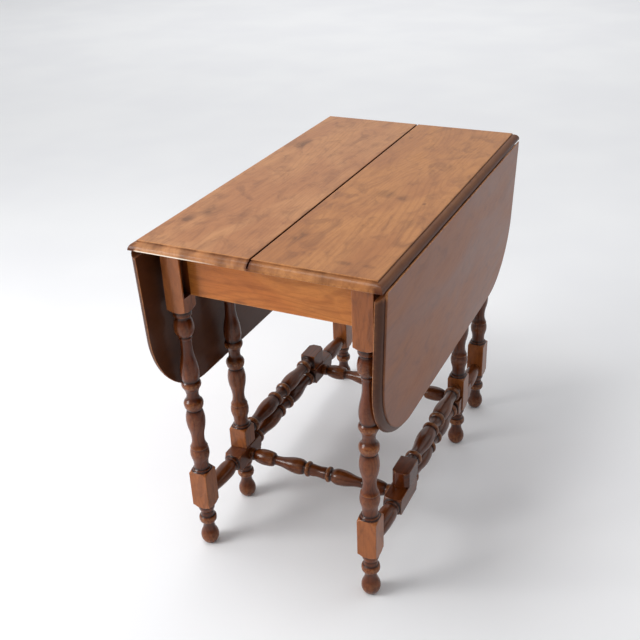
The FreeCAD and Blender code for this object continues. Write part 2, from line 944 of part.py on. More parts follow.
def screw(name, x, y, base):
    """A countersunk screw, pointing up, with its head flush with a plate's outer face."""
    head = primitive(
        "Cone", f"{name}_head",
        Radius1="screw_head_radius", Radius2="screw_radius", Height="hinge_plate",
    )
    shank = primitive("Cylinder", f"{name}_shank", Radius="screw_radius", Height="screw_length")
    for piece in (head, shank):
        place(piece, value_of(x), value_of(y), value_of(base))
    return fused(name, [head, shank])


def block_screws(name):
    """The round-headed screws that hold the top down, up through the corner blocks."""
    screws = []
    base = f"{UNDERSIDE} - block_gap - block_drop"
    for index, (x, y) in enumerate(block_screw_spots((1, -1))):
        head = primitive(
            "Cylinder", f"{name}_{index}_head",
            Radius="block_screw_head", Height="block_screw_head_height",
        )
        place(head, value_of(x), value_of(y), value_of(f"{base} - block_screw_head_height"))
        shank = primitive(
            "Cylinder", f"{name}_{index}_shank",
            Radius="block_screw_radius", Height="block_drop + block_gap + screw_length",
        )
        place(shank, value_of(x), value_of(y), value_of(base))
        screws.append(fused(f"{name}_{index}", [head, shank]))
    group(name, screws)


PLATE_BASE = f"{UNDERSIDE} - ( {PIN_LEVEL} )"
PLATE_TOP = f"{PLATE_BASE} + hinge_plate"


def hinge_set(name, screws_name, way, reach, knuckles, bore_radius, mount):
    """Three hinge halves and their screws. way is -1 for the half under the top, 1 for the leaf's."""
    inner = "knuckle_radius + knuckle_clearance"
    halves, screws = [], []
    for number, row in enumerate(hinge_rows()):
        label = f"{name}_{number}"
        along = f"{row} - hinge_half", f"{row} + hinge_half"
        parts = [plate(f"{label}_plate", span(way, inner, reach), along, PLATE_BASE, PLATE_TOP)]
        for index, (low, high) in enumerate(knuckles):
            where = f"{row} + {low}", f"{row} + {high}"
            arm = plate(
                f"{label}_arm_{index}", span(way, "0", f"{inner} + knuckle_arm_overlap"), where,
                PLATE_BASE, PLATE_TOP,
            )
            parts += [arm, rod(f"{label}_knuckle_{index}", "knuckle_radius", "0", *where)]
        bores = [rod(f"{label}_bore", bore_radius, "0", f"{along[0]} - 1", f"{along[1]} + 1")]
        for index, back in enumerate(SCREW_BACKS):
            for spread in (1, -1):
                x = f"{way} * ( {reach} - {back} )"
                y = f"{row} + {spread} * screw_spread"
                tag = f"{screws_name}_{number}_{index}_{spread + 1}"
                screws.append(screw(tag, x, y, PLATE_BASE))
                hole = primitive(
                    "Cone", f"{tag}_sink",
                    Radius1="screw_head_radius", Radius2="screw_radius", Height="hinge_plate",
                )
                place(hole, value_of(x), value_of(y), value_of(PLATE_BASE))
                bores.append(hole)
        whole = fused(f"{label}_whole", parts)
        halves.append(less(label, whole, fused(f"{label}_bores", bores)))
    mount(group(name, halves))
    mount(group(screws_name, screws))


def hinge_pins(name, side):
    pins = [
        rod(f"{name}_{i}", "hinge_pin_radius", "0", f"{row} - hinge_half", f"{row} + hinge_half")
        for i, row in enumerate(hinge_rows())
    ]
    under_top(group(name, pins), side)


def under_top(piece, side):
    """Places hinge parts, made about the pin's axis, at one side of the fixed top."""
    place(piece, side * value_of("top_half_width"), 0, value_of(PIN_LEVEL), half_turn(side))


def extruded(name, draw, base, top):
    """A node of the solids that draw(sketch) outlines, from one height to another."""
    sketch = doc.addObject("Sketcher::SketchObject", f"{name}_sketch")
    draw(sketch)
    place(sketch, 0, 0, value_of(base))
    piece = doc.addObject("Part::Extrusion", name)
    piece.Base = sketch
    piece.DirMode = "Normal"
    piece.Solid = True
    piece.setExpression("LengthFwd", cell(f"{top} - ( {base} )"))
    piece.Label = name
    nodes.append(piece)


def pivot_spots(sketch, radius):
    circles(
        sketch, [("gate_across", "0 - pivot_along"), ("0 - gate_across", "pivot_along")], radius
    )


def corner_blocks(sketch):
    """Four triangular glue blocks, one in each corner of the apron frame."""
    face = "end_apron_face - end_apron_thickness"
    for side in (1, -1):
        for end in (1, -1):
            x, y = f"{side} * side_apron_inner", f"{end} * ( {face} )"
            polygon(
                sketch,
                [
                    (x, y),
                    (x, f"{end} * ( {face} - block_reach )"),
                    (f"{side} * ( side_apron_inner - block_reach )", y),
                ],
            )
    circles(sketch, block_screw_spots((1, -1)), "block_screw_radius")


def stretcher_pegs(name):
    """The pegs in the side stretchers' outer faces."""
    pegs = []
    for side in (1, -1):
        peg = primitive("Cylinder", f"{name}_{side + 1}", Radius="peg_radius", Height="peg_length")
        start = value_of("leg_across + stretcher_half - peg_length")
        position = Vector(
            side * start,
            -side * value_of("cross_along + peg_aside"),
            value_of("stretcher_height - peg_drop"),
        )
        peg.Placement = Placement(position, half_turn(side) * ALONG_X)
        pegs.append(peg)
    group(name, pegs)


# ---- the whole table

ENDS = {"front": -1, "back": 1}
SIDES = {"left": -1, "right": 1}

for end_name, end in ENDS.items():
    for side_name, side in SIDES.items():
        corner_leg(f"corner_leg_{end_name}_{side_name}", side, end)
    cross_stretcher(f"cross_stretcher_{end_name}", end)
    end_apron(f"end_apron_{end_name}", end)

for side_name, side in SIDES.items():
    side_stretcher(f"side_stretcher_{side_name}", side)
    side_apron(f"side_apron_{side_name}", side)
    top_board(f"top_board_{side_name}", side)
    gate_leg(f"gate_leg_{side_name}", side)
    gate_rail(f"gate_lower_rail_{side_name}", side)
    gate_upper_rail(f"gate_upper_rail_{side_name}", side)
    leaf(f"leaf_{side_name}", side)
    end_knuckles = [
        ("0 - hinge_half", "0 - knuckle_half - knuckle_clearance"),
        ("knuckle_half + knuckle_clearance", "hinge_half"),
    ]
    hinge_set(
        f"hinge_plates_top_{side_name}", f"hinge_screws_top_{side_name}", -1,
        "hinge_fixed_reach", end_knuckles, "hinge_pin_radius",
        lambda piece, s=side: under_top(piece, s),
    )
    hinge_set(
        f"hinge_plates_leaf_{side_name}", f"hinge_screws_leaf_{side_name}", 1,
        "hinge_leaf_reach", [("0 - knuckle_half", "knuckle_half")], "knuckle_bore",
        lambda piece, s=side: hang(piece, s),
    )
    hinge_pins(f"hinge_pins_{side_name}", side)

stretcher_pegs("stretcher_pegs")
extruded(
    "gate_pivot_pins_lower", lambda sketch: pivot_spots(sketch, "lower_pin_radius"),
    "stretcher_height - lower_pin_foot",
    "rail_height + rail_half - lower_pin_cover - pin_end_play",
)
extruded(
    "gate_pivot_pins_upper", lambda sketch: pivot_spots(sketch, "upper_pin_radius"),
    "upper_rail_height - upper_rail_half + upper_pin_cover + pin_end_play",
    "side_apron_base + upper_pin_depth",
)
extruded(
    "corner_blocks", corner_blocks, f"{UNDERSIDE} - block_gap - block_drop",
    f"{UNDERSIDE} - block_gap",
)
block_screws("block_screws")

doc.recompute()
for thing in doc.Objects:
    if {"Invalid", "Error"} & set(thing.State):
        raise RuntimeError(f"{thing.Label} failed: {thing.State}")
for node in nodes:
    if node.Shape.isNull() or not node.Shape.isValid():
        raise RuntimeError(f"{node.Label} has no valid shape")

os.makedirs("parts", exist_ok=True)
for node in nodes:
    node.Shape.exportStep(f"parts/{node.Label}.step")
    print(f"{node.Label:28s} {len(node.Shape.Solids)} solids {node.Shape.Volume / 1000:9.2f} cm3")
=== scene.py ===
import json
import math

import bpy
import numpy as np
from mathutils import Matrix, Vector, noise
from mathutils.bvhtree import BVHTree


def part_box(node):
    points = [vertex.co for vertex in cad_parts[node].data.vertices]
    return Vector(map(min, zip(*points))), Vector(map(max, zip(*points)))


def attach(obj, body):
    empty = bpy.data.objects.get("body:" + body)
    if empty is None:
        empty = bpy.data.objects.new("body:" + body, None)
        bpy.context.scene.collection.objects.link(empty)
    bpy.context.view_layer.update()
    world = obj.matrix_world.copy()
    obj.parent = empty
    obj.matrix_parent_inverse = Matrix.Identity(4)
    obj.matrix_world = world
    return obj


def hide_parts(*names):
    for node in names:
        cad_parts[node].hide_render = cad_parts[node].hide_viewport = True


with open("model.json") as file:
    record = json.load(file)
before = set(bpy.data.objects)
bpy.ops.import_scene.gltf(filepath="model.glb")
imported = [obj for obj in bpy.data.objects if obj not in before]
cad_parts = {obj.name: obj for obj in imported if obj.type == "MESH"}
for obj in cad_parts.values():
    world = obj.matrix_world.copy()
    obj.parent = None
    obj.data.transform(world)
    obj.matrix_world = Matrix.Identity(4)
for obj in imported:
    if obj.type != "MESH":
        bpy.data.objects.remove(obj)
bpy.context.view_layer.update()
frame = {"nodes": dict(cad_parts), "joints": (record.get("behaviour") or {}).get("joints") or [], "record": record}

MM = 0.001
X, Y, Z = Vector((1, 0, 0)), Vector((0, 1, 0)), Vector((0, 0, 1))
SIDES = {"left": -1, "right": 1}
ENDS = {"front": -1, "back": 1}


# ---- colours and materials

def colour(red, green, blue):
    """A colour named by its screen values, 0 to 255, as the linear values a shader takes."""
    linear = [(c / 255) ** 2.2 for c in (red, green, blue)]
    return (*linear, 1.0)


PLANED_WOOD = colour(172, 102, 54)
BARE_WOOD = colour(206, 140, 84)
# Painted highlight: the near white that a lip is mixed to, standing for light caught along it.
PAINTED_GLINT = colour(240, 226, 208)
PORES = colour(60, 30, 16)
STAIN = colour(92, 56, 40)
KNOT = colour(70, 42, 30)
# Colours things are darkened towards: soiling, and on the top and the leaves also painted shade on the joint
# moulding and on the leaf mouldings and undersides.
OLD_DIRT, RED_DIRT_AND_SHADE, LEAF_SHADE_AND_DIRT = colour(34, 15, 8), colour(66, 25, 11), colour(42, 19, 10)
RUST, IRON_GREY, IRON_BLACK = colour(96, 58, 38), colour(58, 53, 50), colour(38, 35, 34)

TURNED = dict(dark=colour(48, 19, 6), middle=colour(101, 48, 18), light=colour(127, 67, 30))
FRAME_FINISH = dict(gloss=0.32, coat=0.42, figure=0.6, stain=0.2, **TURNED)
APRON = dict(dark=colour(138, 76, 34), middle=colour(180, 104, 48), light=colour(194, 122, 62))
# The left board's palette is paler and greyer than the right's: painted sheen, for the stronger reflection that
# the left board shows.
TOPS = {
    "left": dict(dark=colour(128, 80, 52), middle=colour(168, 112, 72), light=colour(184, 130, 88)),
    "right": dict(dark=colour(122, 74, 44), middle=colour(163, 106, 63), light=colour(180, 123, 76)),
}
TOP_FINISH = dict(gloss=0.36, coat=0.14, figure=0.34, stain=0.42, grip=0.1, dirt_and_shade=RED_DIRT_AND_SHADE)
LEAF = dict(dark=colour(106, 57, 33), middle=colour(129, 74, 43), light=colour(145, 87, 51))
LEAF_FINISH = dict(gloss=0.42, coat=0.24, figure=0.25, stain=0.35, grip=0.05, dirt_and_shade=LEAF_SHADE_AND_DIRT, **LEAF)

# Painted shade: how light each kind of turned piece is painted, against 1 for the front corner legs; the pieces
# further back or lower, in the table's shadow, are painted darker.
PAINTED_SHADE_TONES = dict(
    front_leg=1.0, back_leg=0.72, gate_leg=0.8, side_stretcher=0.72, cross_stretcher=0.68, gate_rail=0.68,
)


class Nodes:
    """Adds nodes to a material and links them, one short call each."""

    def __init__(self, material):
        self.tree = material.node_tree
        self.tree.nodes.clear()

    def add(self, kind, **settings):
        node = self.tree.nodes.new("ShaderNode" + kind)
        for key, value in settings.items():
            setattr(node, key, value)
        return node

    def feed(self, socket, value):
        if isinstance(value, bpy.types.NodeSocket):
            self.tree.links.new(value, socket)
        else:
            socket.default_value = value

    def maths(self, operation, first, second=0.0, clamp=False):
        node = self.add("Math", operation=operation, use_clamp=clamp)
        self.feed(node.inputs[0], first)
        self.feed(node.inputs[1], second)
        return node.outputs[0]

    def mix(self, share, first, second, blend="MIX"):
        node = self.add("Mix", data_type="RGBA", blend_type=blend)
        node.clamp_factor = True
        self.feed(node.inputs[0], share)
        self.feed(node.inputs[6], first)
        self.feed(node.inputs[7], second)
        return node.outputs[2]

    def ramp(self, value, low, high, bottom=0.0, top=1.0):
        """Value eased from low..high to bottom..top, and held at the ends."""
        node = self.add("MapRange", interpolation_type="SMOOTHSTEP")
        self.feed(node.inputs["Value"], value)
        settings = (("From Min", low), ("From Max", high), ("To Min", bottom), ("To Max", top))
        for key, number in settings:
            node.inputs[key].default_value = number
        return node.outputs[0]

    def noise(self, vector, scale, detail=3.0, roughness=0.55, distortion=0.0):
        node = self.add("TexNoise")
        self.feed(node.inputs["Vector"], vector)
        node.inputs["Scale"].default_value = scale
        node.inputs["Detail"].default_value = detail
        node.inputs["Roughness"].default_value = roughness
        node.inputs["Distortion"].default_value = distortion
        return node.outputs["Fac"]

    def attribute(self, name):
        return self.add("Attribute", attribute_name=name).outputs["Fac"]

    def place(self, scale=(1, 1, 1), shift=(0, 0, 0)):
        """The point's place in its piece's frame, which is the table's at rest, scaled and shifted."""
        mapping = self.add("Mapping")
        self.feed(mapping.inputs["Vector"], self.add("TexCoord").outputs["Object"])
        mapping.inputs["Scale"].default_value = scale
        mapping.inputs["Location"].default_value = shift
        return mapping.outputs[0]


def stretched(grain, along):
    """Scales for the three axes, with the pattern drawn out along the grain."""
    return tuple(along if axis == grain else 1.0 for axis in "XYZ")


def knot_field(nodes, knots):
    """How near a point is to any knot: 1 at its middle, 0 past its edge."""
    total = 0.0
    for centre, size in knots:
        scale = tuple(1 / s for s in size)
        shift = tuple(-c / s for c, s in zip(centre, size))
        reach = nodes.add("VectorMath", operation="LENGTH")
        nodes.feed(reach.inputs[0], nodes.place(scale, shift))
        near = nodes.ramp(reach.outputs["Value"], 1.0, 0.15)
        total = nodes.maths("MAXIMUM", near, total)
    return total


RING_COUNT = 190.0
SPECULAR_LEVEL = 0.16
COAT_ROUGHNESS = 0.13


def wood(
    name, grain, seed, dark, middle, light,
    gloss=0.32, coat=0.25, figure=0.5, stain=0.35, grip=0.2, shade_tone=1.0, knots=(), dirt_and_shade=OLD_DIRT,
):
    """Old stained hardwood, with growth rings, streaks, pores and soft patches along its grain axis.

    A mesh says where it is so by its point attributes planed, worn, a darkening share and a painted highlight
    share, each 0 to 1; the darkening is soiling in hollows and seams, and painted shade on the top's joint
    moulding and on the leaves' mouldings and undersides.
    figure is the strength of the grain, stain of the cloudy patches and grip of the bump; the shade factor darkens
    the whole palette as painted shade.
    """
    material = bpy.data.materials.new(name)
    material.use_nodes = True
    nodes = Nodes(material)
    shift = (seed * 1.7, seed * 2.9, seed * 4.3)
    # Painted shade: the whole palette is darkened for pieces that stand in the table's shadow.
    dark, middle, light = ((*(c * shade_tone for c in shade[:3]), 1.0) for shade in (dark, middle, light))

    patches = nodes.noise(nodes.place(stretched(grain, 0.4), shift), 9, 3, 0.5, 0.5)
    contours = nodes.noise(nodes.place(stretched(grain, 0.14), shift), 7, 2, 0.45, 0.3)
    rings = nodes.maths("SINE", nodes.maths("MULTIPLY", contours, RING_COUNT))
    streaks = nodes.noise(nodes.place(stretched(grain, 0.03), shift), 260, 4, 0.6, 0.1)
    pores = nodes.noise(nodes.place(stretched(grain, 0.05), shift), 1500, 2, 0.5)
    clouds = nodes.noise(nodes.place(stretched(grain, 0.5), shift), 26, 5, 0.62, 1.2)
    mottle = nodes.noise(nodes.place(stretched(grain, 0.3), shift), 70, 4, 0.6, 0.8)

    body = nodes.mix(nodes.ramp(patches, 0.38, 0.62), middle, light)
    planed = nodes.maths("MULTIPLY", nodes.attribute("planed"), 0.6 * shade_tone)
    body = nodes.mix(planed, body, PLANED_WOOD)
    turned_share = nodes.maths("SUBTRACT", 1.0, planed)
    ringed = nodes.maths("MULTIPLY", nodes.ramp(rings, 0.1, 1.0, 0, 0.5 * figure), turned_share)
    body = nodes.mix(ringed, body, dark)
    streaked = nodes.maths("MULTIPLY", nodes.ramp(streaks, 0.5, 0.75, 0, 0.7 * figure), turned_share)
    body = nodes.mix(streaked, body, dark)
    body = nodes.mix(nodes.ramp(pores, 0.6, 0.75, 0, 0.5 * figure), body, PORES)
    body = nodes.mix(nodes.ramp(mottle, 0.42, 0.68, 0, 0.55 * figure), body, dark)
    body = nodes.mix(nodes.ramp(clouds, 0.46, 0.74, 0, stain), body, STAIN)
    if knots:
        ragged = nodes.ramp(clouds, 0.35, 0.6, 0.25, 1.0)
        broken = nodes.maths("MULTIPLY", knot_field(nodes, knots), ragged)
        body = nodes.mix(nodes.maths("MULTIPLY", broken, 0.55), body, KNOT)

    crumbled = nodes.ramp(nodes.noise(nodes.place(shift=shift), 130, 4, 0.7), 0.38, 0.62)
    worn = nodes.maths("MULTIPLY", nodes.attribute("worn"), crumbled, clamp=True)
    body = nodes.mix(nodes.maths("MULTIPLY", worn, 0.6), body, BARE_WOOD)
    # Darkening: soiling in the turned hollows and the seam, and painted shade on the top's joint moulding and on
    # the leaves' mouldings and undersides.
    soiled_and_shaded = nodes.maths("MULTIPLY", nodes.attribute("grime"), 0.9, clamp=True)
    body = nodes.mix(soiled_and_shaded, body, dirt_and_shade)
    # Painted highlight: a near-white line mixed in along a lip.
    body = nodes.mix(nodes.attribute("scuffed"), body, PAINTED_GLINT)

    rough = nodes.ramp(patches, 0.3, 0.75, gloss - 0.05, gloss + 0.1)
    rough = nodes.maths("ADD", rough, nodes.maths("MULTIPLY", worn, 0.12))

    height = nodes.maths("ADD", nodes.maths("MULTIPLY", streaks, 0.6), nodes.maths("MULTIPLY", pores, 0.3))
    bump = nodes.add("Bump")
    bump.inputs["Strength"].default_value = grip
    bump.inputs["Distance"].default_value = 0.2 * MM
    nodes.feed(bump.inputs["Height"], height)

    shader = nodes.add("BsdfPrincipled")
    nodes.feed(shader.inputs["Base Color"], body)
    nodes.feed(shader.inputs["Roughness"], rough)
    nodes.feed(shader.inputs["Normal"], bump.outputs[0])
    shader.inputs["Specular IOR Level"].default_value = SPECULAR_LEVEL
    shader.inputs["Coat Weight"].default_value = coat
    shader.inputs["Coat Roughness"].default_value = COAT_ROUGHNESS
    output = nodes.add("OutputMaterial")
    nodes.feed(output.inputs["Surface"], shader.outputs[0])
    return material


def iron(name):
    """Dark iron with rusty freckles."""
    material = bpy.data.materials.new(name)
    material.use_nodes = True
    nodes = Nodes(material)
    freckles = nodes.noise(nodes.place(), 420, 4, 0.65)
    cloud = nodes.noise(nodes.place(), 60, 3, 0.5)
    body = nodes.mix(nodes.ramp(freckles, 0.5, 0.7), IRON_GREY, RUST)
    body = nodes.mix(nodes.ramp(cloud, 0.4, 0.7, 0, 0.6), body, IRON_BLACK)
    bump = nodes.add("Bump")
    bump.inputs["Strength"].default_value = 0.5
    bump.inputs["Distance"].default_value = 0.2 * MM
    nodes.feed(bump.inputs["Height"], freckles)
    shader = nodes.add("BsdfPrincipled")
    nodes.feed(shader.inputs["Base Color"], body)
    nodes.feed(shader.inputs["Roughness"], nodes.ramp(freckles, 0.3, 0.7, 0.38, 0.7))
    nodes.feed(shader.inputs["Normal"], bump.outputs[0])
    shader.inputs["Metallic"].default_value = 0.75
    output = nodes.add("OutputMaterial")
    nodes.feed(output.inputs["Surface"], shader.outputs[0])
    return material


# ---- meshes

SHARP_TURN = math.radians(40)


def new_piece(name, points, faces, material, **attributes):
    """A smooth-shaded mesh object, sharp where its faces turn by more than SHARP_TURN."""
    mesh = bpy.data.meshes.new(name)
    mesh.from_pydata([tuple(p) for p in points], [], faces)
    for key, values in attributes.items():
        layer = mesh.attributes.new(key, "FLOAT", "POINT")
        layer.data.foreach_set("value", np.asarray(values, np.float32))
    mesh.materials.append(material)
    mesh.shade_smooth()
    mesh.set_sharp_from_angle(angle=SHARP_TURN)
    piece = bpy.data.objects.new(name, mesh)
    bpy.context.scene.collection.objects.link(piece)
    return piece


def box_faces(first):
    """The six faces of a box whose corners start at index first, low before high, X changing fastest."""
    corners = ((0, 2, 3, 1), (4, 5, 7, 6), (0, 1, 5, 4), (2, 6, 7, 3), (0, 4, 6, 2), (1, 3, 7, 5))
    return [tuple(first + c for c in face) for face in corners]


def stacked_faces(sides, rings):
    """The faces of a solid stacked from rings of sides points each, with its two end caps last."""
    faces = [
        (
            ring * sides + i, ring * sides + (i + 1) % sides,
            (ring + 1) * sides + (i + 1) % sides, (ring + 1) * sides + i,
        )
        for ring in range(rings - 1) for i in range(sides)
    ]
    faces.append(tuple(reversed(range(sides))))
    faces.append(tuple(range((rings - 1) * sides, rings * sides)))
    return faces


def carve(piece, boxes):
    """Cuts boxes, each (low corner, high corner), out of a piece."""
    points, faces = [], []
    for low, high in boxes:
        faces += box_faces(len(points))
        points += [
            (x, y, z) for z in (low[2], high[2]) for y in (low[1], high[1]) for x in (low[0], high[0])
        ]
    mesh = bpy.data.meshes.new("cutter")
    mesh.from_pydata(points, [], faces)
    cutter = bpy.data.objects.new("cutter", mesh)
    bpy.context.scene.collection.objects.link(cutter)
    modifier = piece.modifiers.new("carve", "BOOLEAN")
    modifier.operation = "DIFFERENCE"
    modifier.solver = "EXACT"
    modifier.object = cutter
    depsgraph = bpy.context.evaluated_depsgraph_get()
    carved = bpy.data.meshes.new_from_object(piece.evaluated_get(depsgraph))
    piece.modifiers.clear()
    piece.data = carved
    bpy.data.objects.remove(cutter)
    carved.set_sharp_from_angle(angle=SHARP_TURN)


def stand_in(piece, node):
    """The piece takes a CAD node's place, on the node's own body."""
    record = frame["record"]
    body = next(b for b, members in record["behaviour"]["bodies"].items() if node in members)
    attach(piece, body)
    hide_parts(node)


# ---- turned pieces: a square bar turned between its blocks, rebuilt from the radii of its CAD node

STATION_STEP = 0.4 * MM
PROFILE_ERROR = 0.03 * MM
BLOCK_STEP = 9 * MM
ARRIS = 1.1 * MM
CLIPPED_BLOCK = 50 * MM
CLIP_END = 10.8 * MM
CLIP_TRIM = 0.9 * MM
CLIP_STATIONS = np.array([0, 0.4, 0.9, 3, 6, 9, 10.2, 11]) * MM
SURFACE_BLUR, HOLLOW_BLUR, CREST_BLUR = 1.6, 12, 17
HOLLOW_DEPTH, CREST_HEIGHT = 1.3 * MM, 1.6 * MM
BLOCK_MARGIN = 1.5 * MM
RIM_ROUND = 0.7 * MM
WAVER = 0.10 * MM
RAY_START = 50 * MM
BEYOND_BAR = 30 * MM


def blurred(values, width):
    """Values smoothed by a bell curve, width samples wide at one sigma."""
    reach = int(3 * width) + 1
    bell = np.exp(-0.5 * (np.arange(-reach, reach + 1) / width) ** 2)
    return np.convolve(np.pad(values, reach, mode="edge"), bell / bell.sum(), mode="valid")


def radii_of(node, origin, axis, ray, stations):
    """The distance at each station from a node's axis to its surface, against a ray square to the axis.

    Where the ray misses, the last distance holds.
    """
    mesh = frame["nodes"][node].data
    tree = BVHTree.FromPolygons([v.co for v in mesh.vertices], [p.vertices for p in mesh.polygons])
    radii = []
    for station in np.clip(stations, stations[0] + 0.05 * MM, stations[-1] - 0.05 * MM):
        start = origin + axis * station + ray * RAY_START
        distance = tree.ray_cast(start, -ray, RAY_START)[3]
        radii.append(radii[-1] if distance is None else RAY_START - distance)
    return np.array(radii)


def thinned(stations, radii):
    """Which stations keep the profile within PROFILE_ERROR, at most BLOCK_STEP apart."""
    keep, spans = {0, len(stations) - 1}, [(0, len(stations) - 1)]
    while spans:
        low, high = spans.pop()
        if high - low < 2:
            continue
        inner = slice(low + 1, high)
        ends = [stations[low], stations[high]], [radii[low], radii[high]]
        gap = np.abs(radii[inner] - np.interp(stations[inner], *ends))
        worst = int(gap.argmax())
        if gap[worst] > PROFILE_ERROR or stations[high] - stations[low] > BLOCK_STEP:
            middle = low + 1 + worst if gap[worst] > PROFILE_ERROR else (low + high) // 2
            keep.add(middle)
            spans += [(low, middle), (middle, high)]
    return sorted(keep)


def ring_angles():
    """Angles round a square section, closer together at its corners."""
    eighth = [0, 7, 14, 21, 28, 34, 38.5, 41, 42.6, 43.8]
    quarter = eighth + [45] + [90 - a for a in reversed(eighth[1:])]
    return np.radians([a + 90 * turn for turn in range(4) for a in quarter])


def rectangle_radii(angles, across, up, arris):
    """Radius of a rectangle with rounded corners, and how far its corners were taken down, 0 to 1."""
    u, v = np.abs(np.cos(angles)), np.abs(np.sin(angles))
    flat = np.minimum(across / np.maximum(u, 1e-9), up / np.maximum(v, 1e-9))
    kx, ky = across - arris, up - arris
    dot = u * kx + v * ky
    root = np.sqrt(np.maximum(dot**2 - kx**2 - ky**2 + arris**2, 0))
    corner = (flat * u > kx) & (flat * v > ky)
    radii = np.where(corner, dot + root, flat)
    return radii, (flat - radii) / (0.41 * arris)


def soft_least(first, second, width):
    """The lesser of two values, rounded over where they cross, and how near they are to crossing."""
    share = np.clip(0.5 + 0.5 * (second - first) / width, 0, 1)
    least = second * (1 - share) + first * share - width * share * (1 - share)
    return least, 4 * share * (1 - share)


def turned_piece(node, material, axis, origin, ray, span, half, clip=None):
    """A turned bar with square blocks.

    ray points to where the CAD node has no cuts, and half is half the block's size, across and up.
    clip is the station where the bar ends in a block with clipped corners, if it has one.
    """
    low, high = span
    count = int(round((high - low) / STATION_STEP)) + 1
    stations = np.linspace(low, high, count)
    fine = blurred(radii_of(node, origin, axis, ray.normalized(), stations), SURFACE_BLUR)
    if clip is not None:
        from_end = np.abs(stations - clip)
        fine = np.where(from_end < CLIPPED_BLOCK, 2 * max(half), fine)
    crest = np.clip((fine - blurred(fine, CREST_BLUR)) / CREST_HEIGHT, 0, 1)
    hollow = np.clip((blurred(fine, HOLLOW_BLUR) - fine) / HOLLOW_DEPTH, 0, 1)
    chosen = thinned(stations, fine)
    if clip is not None:
        chosen = sorted({int(np.abs(from_end - gap).argmin()) for gap in CLIP_STATIONS} | set(chosen))
    first, second = (X, Y) if axis is Z else ((X, Z) if axis is Y else (Y, Z))
    angles = ring_angles()

    points, worn, grime, planed = [], [], [], []
    for index in chosen:
        station, radius = stations[index], fine[index]
        centre = origin + axis * station
        across, up = half
        trim = 0.0
        if clip is not None:
            across = min(across, CLIP_END + from_end[index])
            trim = max(0.0, CLIP_TRIM - from_end[index])
        arris = ARRIS * (1 + 0.55 * noise.noise(centre * 45))
        square, corner = rectangle_radii(angles, across - trim, up - trim, arris)
        ring, rim = soft_least(np.full_like(square, radius), square, RIM_ROUND)
        in_block = radius > max(across, up) + BLOCK_MARGIN
        for angle, r, at_corner, at_rim in zip(angles, ring, corner, rim):
            out = first * math.cos(angle) + second * math.sin(angle)
            r += WAVER * noise.noise((centre + out * r) * 90)
            points.append(centre + out * r)
            rim_wear = 0.55 * at_rim if radius > min(across, up) else 0.0
            worn.append(max(at_corner if in_block else 0.45 * crest[index], rim_wear))
            grime.append(0.0 if in_block else hollow[index] * (1 - at_rim))
            planed.append(1.0 if in_block and axis is Z else 0.0)

    faces = stacked_faces(len(angles), len(chosen))
    if first.cross(second).dot(axis) < 0:
        faces = [tuple(reversed(face)) for face in faces]
    return new_piece(f"{node}_turned", points, faces, material, worn=worn, grime=grime, planed=planed)


def centre_of(node):
    low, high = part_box(node)
    return (low + high) / 2


def half_of(node):
    low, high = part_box(node)
    return (high - low) / 2


LEG_HALF = half_of("corner_leg_front_left").x
END_APRON_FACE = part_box("end_apron_back")[1].y
END_APRON_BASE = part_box("end_apron_back")[0].z
HOUSING_DEPTH = 14 * MM
HOUSING_LIP = 4 * MM
HOUSING_RISE = 2 * MM
LAP_PLAY = 0.8 * MM
ABOVE_ALL = 1.0


def make_corner_leg(end_name, side_name):
    """A corner leg, housed on its inner side for the end apron, which is set back from its face."""
    end, side = ENDS[end_name], SIDES[side_name]
    node = f"corner_leg_{end_name}_{side_name}"
    centre = centre_of(node)
    origin = Vector((centre.x, centre.y, 0))
    ray = Vector((side, end, 0))
    look = wood(f"{node}_wood", "Z", 3 * end + side, shade_tone=PAINTED_SHADE_TONES[f"{end_name}_leg"], **FRAME_FINISH)
    leg = turned_piece(node, look, Z, origin, ray, (0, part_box(node)[1].z), (LEG_HALF, LEG_HALF))
    inner = centre.x - side * LEG_HALF
    deep, shy = inner + side * HOUSING_DEPTH, inner - side * MM
    outer, face = centre.y + end * (LEG_HALF - HOUSING_LIP), end * END_APRON_FACE
    carve(leg, [(
        (min(deep, shy), min(outer, face), END_APRON_BASE + HOUSING_RISE),
        (max(deep, shy), max(outer, face), ABOVE_ALL),
    )])
    stand_in(leg, node)


def make_gate_leg(side_name):
    """A gate leg, lapped over the side stretcher and the side apron."""
    side = SIDES[side_name]
    node = f"gate_leg_{side_name}"
    centre = centre_of(node)
    origin = Vector((centre.x, centre.y, 0))
    look = wood(f"{node}_wood", "Z", 7 + side, shade_tone=PAINTED_SHADE_TONES["gate_leg"], **FRAME_FINISH)
    ray = Vector((side, side, 0))
    leg = turned_piece(node, look, Z, origin, ray, (0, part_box(node)[1].z), (LEG_HALF, LEG_HALF))
    beam_low, beam_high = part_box(f"side_stretcher_{side_name}")
    apron_low, apron_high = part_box(f"side_apron_{side_name}")
    apron_face = side * (max(abs(apron_low.x), abs(apron_high.x)) + LAP_PLAY)
    laps = (
        (centre.x, beam_low.z - LAP_PLAY, beam_high.z + LAP_PLAY),
        (apron_face, apron_low.z - LAP_PLAY, ABOVE_ALL),
    )
    wide = LEG_HALF + MM
    inside = centre.x - side * wide
    carve(leg, [
        ((min(inside, reach), centre.y - wide, low), (max(inside, reach), centre.y + wide, high))
        for reach, low, high in laps
    ])
    stand_in(leg, node)


